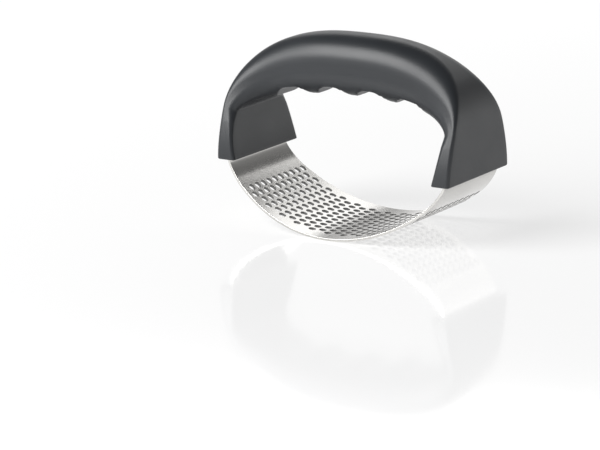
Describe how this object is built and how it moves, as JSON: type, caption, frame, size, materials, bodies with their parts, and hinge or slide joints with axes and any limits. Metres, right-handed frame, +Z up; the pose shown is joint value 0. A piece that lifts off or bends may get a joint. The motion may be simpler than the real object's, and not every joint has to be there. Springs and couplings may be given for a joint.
{
  "type": "rocker garlic press",
  "caption": "Rocker garlic press: a curved perforated steel plate held at both ends in an arched plastic handle with finger grooves under the grip.",
  "frame": {"origin": "lowest point of the rocking plate, in the middle of the press", "axes": "+X from leg to leg along the press, +Y across it, +Z up from the plate to the grip"},
  "size_m": [0.103, 0.0534, 0.0754],
  "materials": {
    "plate_steel": "stainless sheet, brushed along its length, satin",
    "handle_plastic": "charcoal moulded plastic, satin, very fine texture",
    "pin_steel": "ground stainless pin"
  },
  "bodies": {
    "root": {"rocker_plate": "plate_steel", "outer_shell": "handle_plastic", "grip_shell": "handle_plastic", "tab_pins": "pin_steel"}
  },
  "joints": []
}
